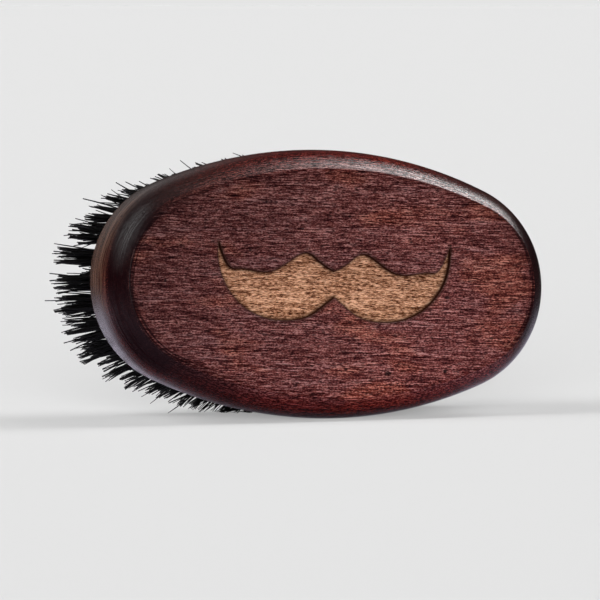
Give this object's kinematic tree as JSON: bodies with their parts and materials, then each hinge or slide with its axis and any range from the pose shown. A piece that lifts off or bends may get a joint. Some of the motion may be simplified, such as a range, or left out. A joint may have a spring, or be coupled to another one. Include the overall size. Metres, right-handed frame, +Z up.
{
  "type": "beard brush",
  "caption": "Oval palm-held beard brush: one-piece stained wood block, rounded rim, flat face with a plain engraved moustache badge, and a dense bed of dark natural bristle tufts behind.",
  "frame": {"origin": "middle of the bottom of the bounding box: the brush stands on its long edge and leans back 3.5 degrees, so that its lowest bristle tips touch the surface too; the origin is on that surface", "axes": "+X along the brush's length, +Z straight up, +Y level, from the flat face towards the bristle tips; a front view along +Y sees the flat face, whose outward direction is 3.5 degrees above -Y"},
  "size_m": [0.0884, 0.0332, 0.05],
  "materials": {
    "stained_wood": "satin dark red-brown stain and thin lacquer over fine straight grain; bare tan wood in the engraved badge",
    "boar_bristle": "dark natural bristle, slightly glossy, ends trimmed level but ragged",
    "anchor_wire": "plain drawn flat wire"
  },
  "bodies": {
    "root": {"wood_block": "stained_wood", "bristle_ring": "boar_bristle", "bristle_row_1": "boar_bristle", "bristle_row_2": "boar_bristle", "bristle_row_3": "boar_bristle", "bristle_row_4": "boar_bristle", "bristle_row_5": "boar_bristle", "bristle_row_6": "boar_bristle", "bristle_row_7": "boar_bristle", "bristle_row_8": "boar_bristle", "bristle_row_9": "boar_bristle", "anchor_ring": "anchor_wire", "anchor_row_1": "anchor_wire", "anchor_row_2": "anchor_wire", "anchor_row_3": "anchor_wire", "anchor_row_4": "anchor_wire", "anchor_row_5": "anchor_wire", "anchor_row_6": "anchor_wire", "anchor_row_7": "anchor_wire", "anchor_row_8": "anchor_wire", "anchor_row_9": "anchor_wire"}
  },
  "joints": []
}
